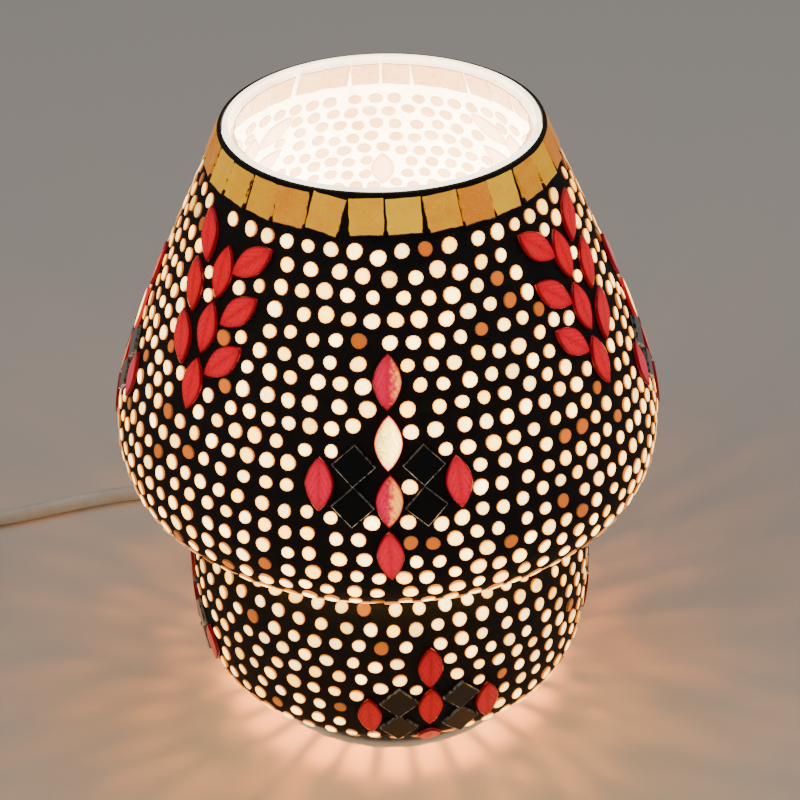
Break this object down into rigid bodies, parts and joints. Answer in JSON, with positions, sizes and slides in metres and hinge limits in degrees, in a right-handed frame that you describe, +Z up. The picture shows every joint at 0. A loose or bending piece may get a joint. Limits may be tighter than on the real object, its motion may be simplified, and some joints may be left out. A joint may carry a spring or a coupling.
{
  "type": "mosaic glass table lamp",
  "caption": "Table lamp with a one-piece blown glass mushroom shade and bowl covered in black-grouted glass mosaic, on a steel base with an E14 holder, bulb, flex, inline switch and plug",
  "frame": {"origin": "centre of the lamp's footprint on the table, under the lamp's own axis", "axes": "+Z up along the lamp's axis, -Y towards the front of the lamp, the flex leaves at +Y, +X to the right seen from the front"},
  "size_m": [0.3756, 0.1955, 0.216],
  "materials": {
    "clear_glass": "clear blown soda glass, gloss",
    "black_grout": "matt black cement grout",
    "gold_glass": "amber glass tiles with gold foil, gloss",
    "red_glass": "red glass leaves and mirror squares on clear bedding, gloss",
    "black_steel": "black powder coat",
    "black_rubber": "matt",
    "spring_steel": "satin",
    "zinc_screw": "zinc plated",
    "black_phenolic": "moulded phenolic, satin gloss",
    "brass": "plain brass",
    "nickel_cap": "nickel plated",
    "frosted_glass": "frosted",
    "stem_glass": "clear",
    "tungsten": "drawn wire",
    "white_pvc": "soft white PVC",
    "white_plastic": "white moulded plastic",
    "brown_wire": "brown PVC sleeve",
    "blue_wire": "blue PVC sleeve"
  },
  "bodies": {
    "base": {"base_plate": "black_steel", "bracket_rivet": "zinc_screw", "centre_contact": "brass", "clip_rivet_1": "zinc_screw", "clip_rivet_2": "zinc_screw", "clip_rivet_3": "zinc_screw", "cord_coil": "white_pvc", "cord_end": "white_pvc", "cord_lead": "white_pvc", "cord_tail": "white_pvc", "flex_bracket": "black_steel", "flex_gland": "white_pvc", "holder_base": "black_phenolic", "holder_screw_1": "zinc_screw", "holder_screw_2": "zinc_screw", "holder_sleeve": "black_phenolic", "live_wire": "brown_wire", "neutral_wire": "blue_wire", "plug_body": "white_plastic", "plug_pin_1": "brass", "plug_pin_2": "brass", "retaining_clip_1": "spring_steel", "retaining_clip_2": "spring_steel", "retaining_clip_3": "spring_steel", "rubber_foot_1": "black_rubber", "rubber_foot_2": "black_rubber", "rubber_foot_3": "black_rubber", "screw_shell": "brass", "seat_gasket": "black_rubber", "switch_contact_1": "brass", "switch_contact_2": "brass", "switch_lower": "white_plastic", "switch_pin": "zinc_screw", "switch_screw_1": "zinc_screw", "switch_screw_2": "zinc_screw", "switch_upper": "white_plastic"},
    "glass": {"glass_body": "clear_glass", "shade_grout": "black_grout", "bowl_grout": "black_grout", "rim_tile_band": "gold_glass", "foot_tile_band": "gold_glass", "shade_cross_1": "red_glass", "shade_cross_2": "red_glass", "shade_cross_3": "red_glass", "shade_cross_4": "red_glass", "shade_sprig_1": "red_glass", "shade_sprig_2": "red_glass", "shade_sprig_3": "red_glass", "shade_sprig_4": "red_glass", "bowl_cross_1": "red_glass", "bowl_cross_2": "red_glass", "bowl_cross_3": "red_glass", "bowl_cross_4": "red_glass"},
    "bulb_slider": {"cap_contact": "nickel_cap"},
    "bulb": {"bulb_cap": "nickel_cap", "cap_insulator": "black_phenolic", "bulb_glass": "frosted_glass", "bulb_stem": "stem_glass", "bulb_filament": "tungsten"},
    "rocker": {"switch_rocker": "white_plastic"}
  },
  "joints": [
    {"name": "glass_lift", "type": "slide", "parent": "base", "child": "glass", "axis": [0, 0, 1], "range_m": [0, 0.11]},
    {"name": "bulb_travel", "type": "slide", "parent": "base", "child": "bulb_slider", "axis": [0, 0, 1], "range_m": [0, 0.0086]},
    {"name": "bulb_turn", "type": "hinge", "parent": "bulb_slider", "child": "bulb", "pos_m": [0, 0, 0.0685], "axis": [0, 0, 1], "range_deg": [0, 1080]},
    {"name": "switch_rocker", "type": "hinge", "parent": "base", "child": "rocker", "pos_m": [-0.21469, 0.06463, 0.0124], "axis": [-0.2924, 0.9563, 0], "range_deg": [-18, 0]}
  ],
  "couplings": [
    {"joint": "bulb_travel", "follows": "bulb_turn", "m_per_rad": 0.00044913}
  ]
}
